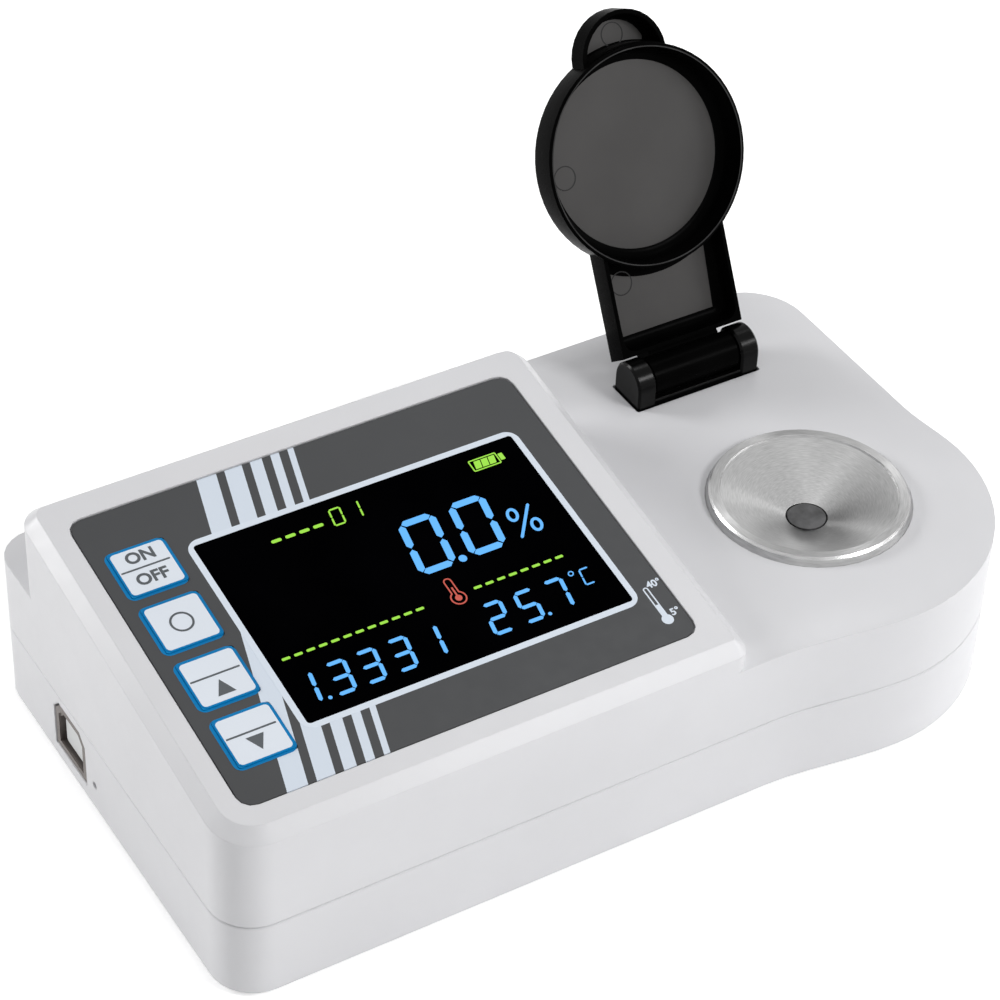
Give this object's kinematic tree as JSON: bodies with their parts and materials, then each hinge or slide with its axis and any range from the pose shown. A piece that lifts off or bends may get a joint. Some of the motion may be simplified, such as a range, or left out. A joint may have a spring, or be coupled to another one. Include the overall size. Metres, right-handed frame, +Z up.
{
  "type": "benchtop digital refractometer",
  "caption": "Benchtop refractometer: white two-part housing with a tilted panel deck, screen and keys, steel sample dish over a prism, and a black hinged lid standing open.",
  "frame": {"origin": "on the table, under the middle of the part's box as it stands with the lid open", "axes": "+X to the right along the front wall, +Y to the back, +Z up"},
  "size_m": [0.173, 0.1136, 0.1008],
  "materials": {
    "white_plastic": "fine matte moulding",
    "black_plastic": "satin gloss moulding",
    "panel_foil": "printed satin foil",
    "key_foil": "printed satin foil",
    "screen_glass": "polished dark pane",
    "board_green": "solder mask",
    "dark_metal": "plated",
    "polished_steel": "polished",
    "aluminium": "milled",
    "prism_glass": "polished",
    "rubber": "matte",
    "lamp_resin": "clear resin",
    "cell_sleeve": "plain sleeve"
  },
  "bodies": {
    "base": {"battery_cell_1": "cell_sleeve", "battery_cell_2": "cell_sleeve", "battery_cell_3": "cell_sleeve", "battery_cell_4": "cell_sleeve", "battery_contact_back": "polished_steel", "battery_contact_front": "polished_steel", "case_screw_1": "polished_steel", "case_screw_2": "polished_steel", "case_screw_3": "polished_steel", "case_screw_4": "polished_steel", "data_port": "dark_metal", "display_module": "dark_metal", "foot_1": "rubber", "foot_2": "rubber", "foot_3": "rubber", "foot_4": "rubber", "hinge_bracket": "black_plastic", "hinge_pin": "polished_steel", "hinge_screw_1": "polished_steel", "hinge_screw_2": "polished_steel", "key_switch_1": "black_plastic", "key_switch_2": "black_plastic", "key_switch_3": "black_plastic", "key_switch_4": "black_plastic", "lamp": "lamp_resin", "lower_housing": "white_plastic", "main_board": "board_green", "optics_block": "aluminium", "panel_board": "board_green", "panel_foil": "panel_foil", "port_board": "board_green", "prism": "prism_glass", "prism_seal": "rubber", "sample_dish": "polished_steel", "screen_window": "screen_glass", "sensor_board": "board_green", "upper_housing": "white_plastic"},
    "lid": {"lid": "black_plastic"},
    "battery_door": {"battery_door": "white_plastic"},
    "key_1": {"key_1": "key_foil"},
    "key_2": {"key_2": "key_foil"},
    "key_3": {"key_3": "key_foil"},
    "key_4": {"key_4": "key_foil"}
  },
  "joints": [
    {"name": "lid_hinge", "type": "hinge", "parent": "base", "child": "lid", "pos_m": [0.05155, 0.02002, 0.0385], "axis": [1, 0, 0], "range_deg": [0, 117]},
    {"name": "key_1_press", "type": "slide", "parent": "base", "child": "key_1", "axis": [0, 0.158, -0.9874], "range_m": [0, 0.0005], "stiffness_N_per_m": 1500},
    {"name": "key_2_press", "type": "slide", "parent": "base", "child": "key_2", "axis": [0, 0.158, -0.9874], "range_m": [0, 0.0005], "stiffness_N_per_m": 1500},
    {"name": "key_3_press", "type": "slide", "parent": "base", "child": "key_3", "axis": [0, 0.158, -0.9874], "range_m": [0, 0.0005], "stiffness_N_per_m": 1500},
    {"name": "key_4_press", "type": "slide", "parent": "base", "child": "key_4", "axis": [0, 0.158, -0.9874], "range_m": [0, 0.0005], "stiffness_N_per_m": 1500},
    {"name": "battery_door_off", "type": "slide", "parent": "base", "child": "battery_door", "axis": [0, 0, -1], "range_m": [0, 0.02]}
  ]
}
